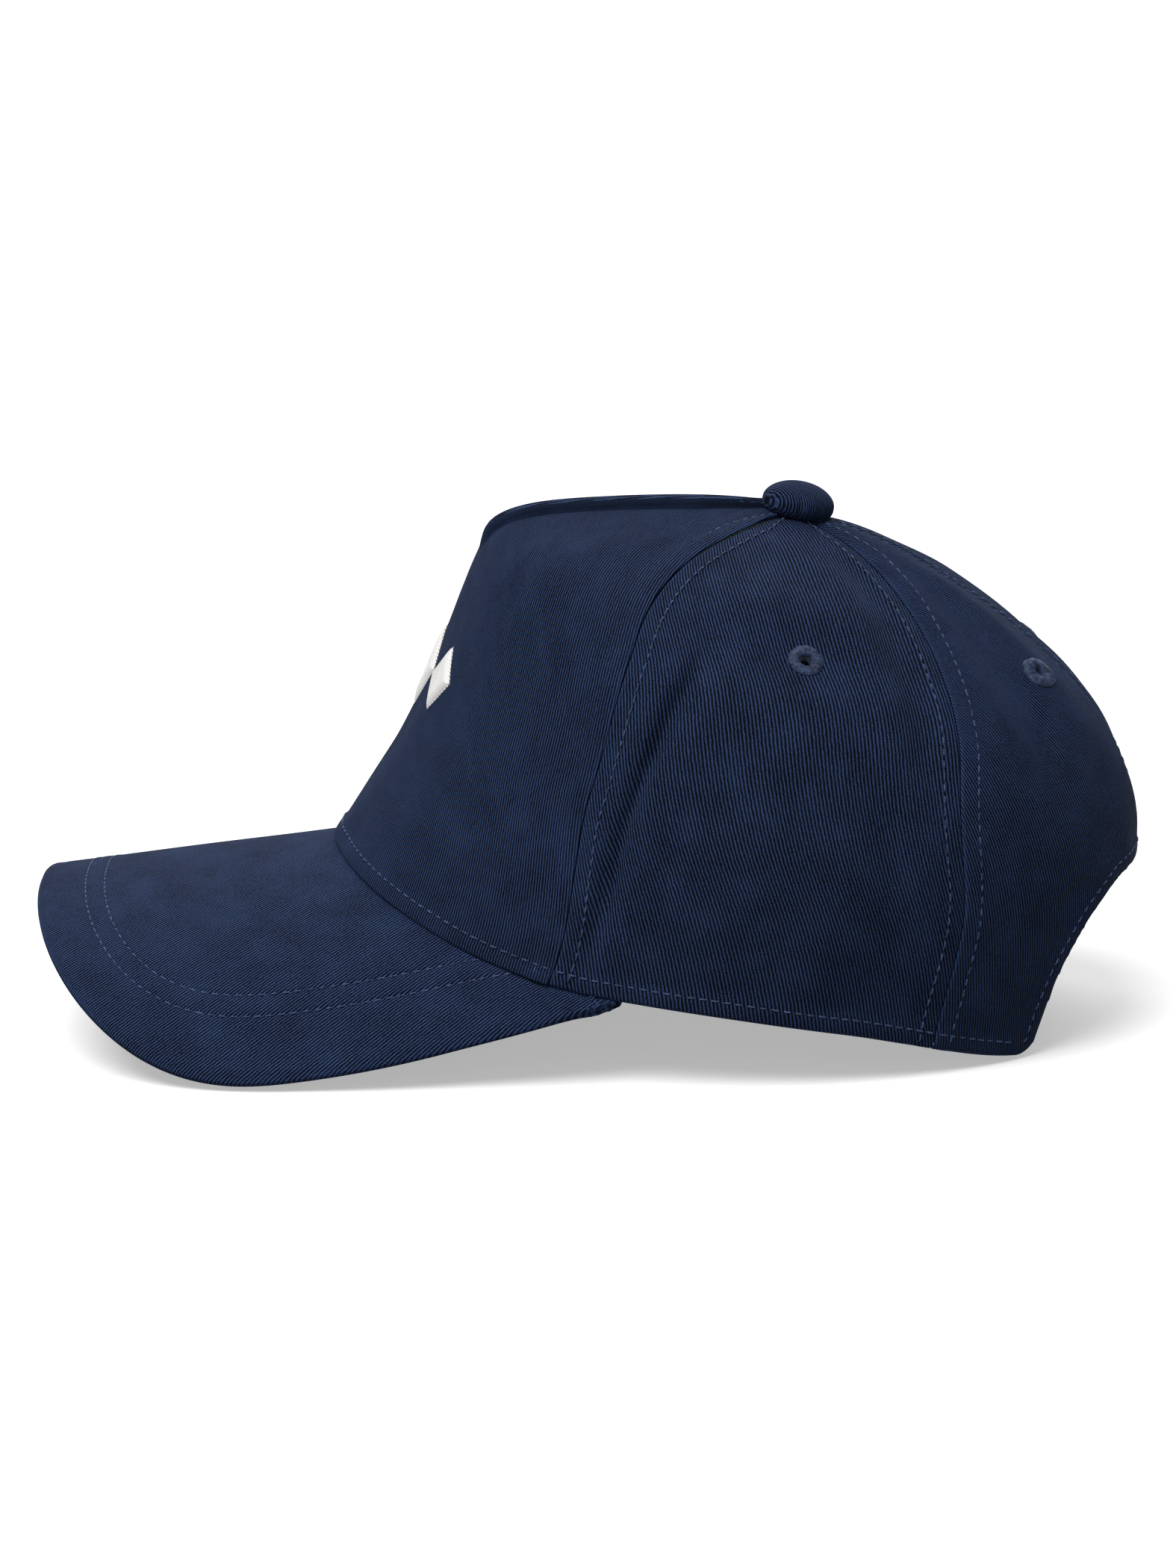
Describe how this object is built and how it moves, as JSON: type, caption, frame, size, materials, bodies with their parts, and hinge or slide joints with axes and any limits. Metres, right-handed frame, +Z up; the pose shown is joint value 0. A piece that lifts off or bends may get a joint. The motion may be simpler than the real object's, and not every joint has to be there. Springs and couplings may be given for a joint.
{
  "type": "baseball cap",
  "caption": "Five-panel baseball cap with a stiff front, a strongly curved visor, a fabric button, eyelets and a rear opening with a clamped strap.",
  "frame": {"origin": "centre of the bounding box at the table: the cap stands on the two low edges of its visor and on the two rear corners of its hem", "axes": "+Z up, visor towards -X, the wearer's left side towards -Y; symmetric about the XZ plane apart from the closure"},
  "size_m": [0.283, 0.1708, 0.1401],
  "materials": {
    "navy_twill": "matt cotton twill",
    "dark_lining": "matt cotton tape",
    "buckram_white": "stiff open mesh",
    "visor_plastic": "smooth polyethylene board",
    "motif_white": "satin stitch thread",
    "thread_blue": "polyester thread",
    "steel": "satin",
    "label_white": "satin ribbon, blank"
  },
  "bodies": {
    "cap": {"front_panel": "navy_twill", "left_side_panel": "navy_twill", "right_side_panel": "navy_twill", "left_rear_panel": "navy_twill", "right_rear_panel": "navy_twill", "front_buckram": "buckram_white", "dart_tape": "dark_lining", "left_front_seam_tape": "dark_lining", "right_front_seam_tape": "dark_lining", "left_rear_seam_tape": "dark_lining", "right_rear_seam_tape": "dark_lining", "back_seam_tape": "dark_lining", "arch_tape": "dark_lining", "sweatband": "dark_lining", "label": "label_white", "visor_top_cover": "navy_twill", "visor_board": "visor_plastic", "visor_under_cover": "navy_twill", "front_motif": "motif_white", "button_cover": "navy_twill", "button_shell": "steel", "button_shank": "steel", "button_washer": "steel", "left_side_eyelet": "thread_blue", "right_side_eyelet": "thread_blue", "left_rear_eyelet": "thread_blue", "right_rear_eyelet": "thread_blue", "closure_strap": "navy_twill", "buckle_loop": "navy_twill", "buckle_plate": "steel", "buckle_pin": "steel"},
    "lever": {"buckle_lever": "steel"}
  },
  "joints": [
    {"name": "lever_hinge", "type": "hinge", "parent": "cap", "child": "lever", "pos_m": [0.11889, 0.018, 0.01379], "axis": [0.1668, 0, 0.986], "range_deg": [-110, 0]}
  ]
}
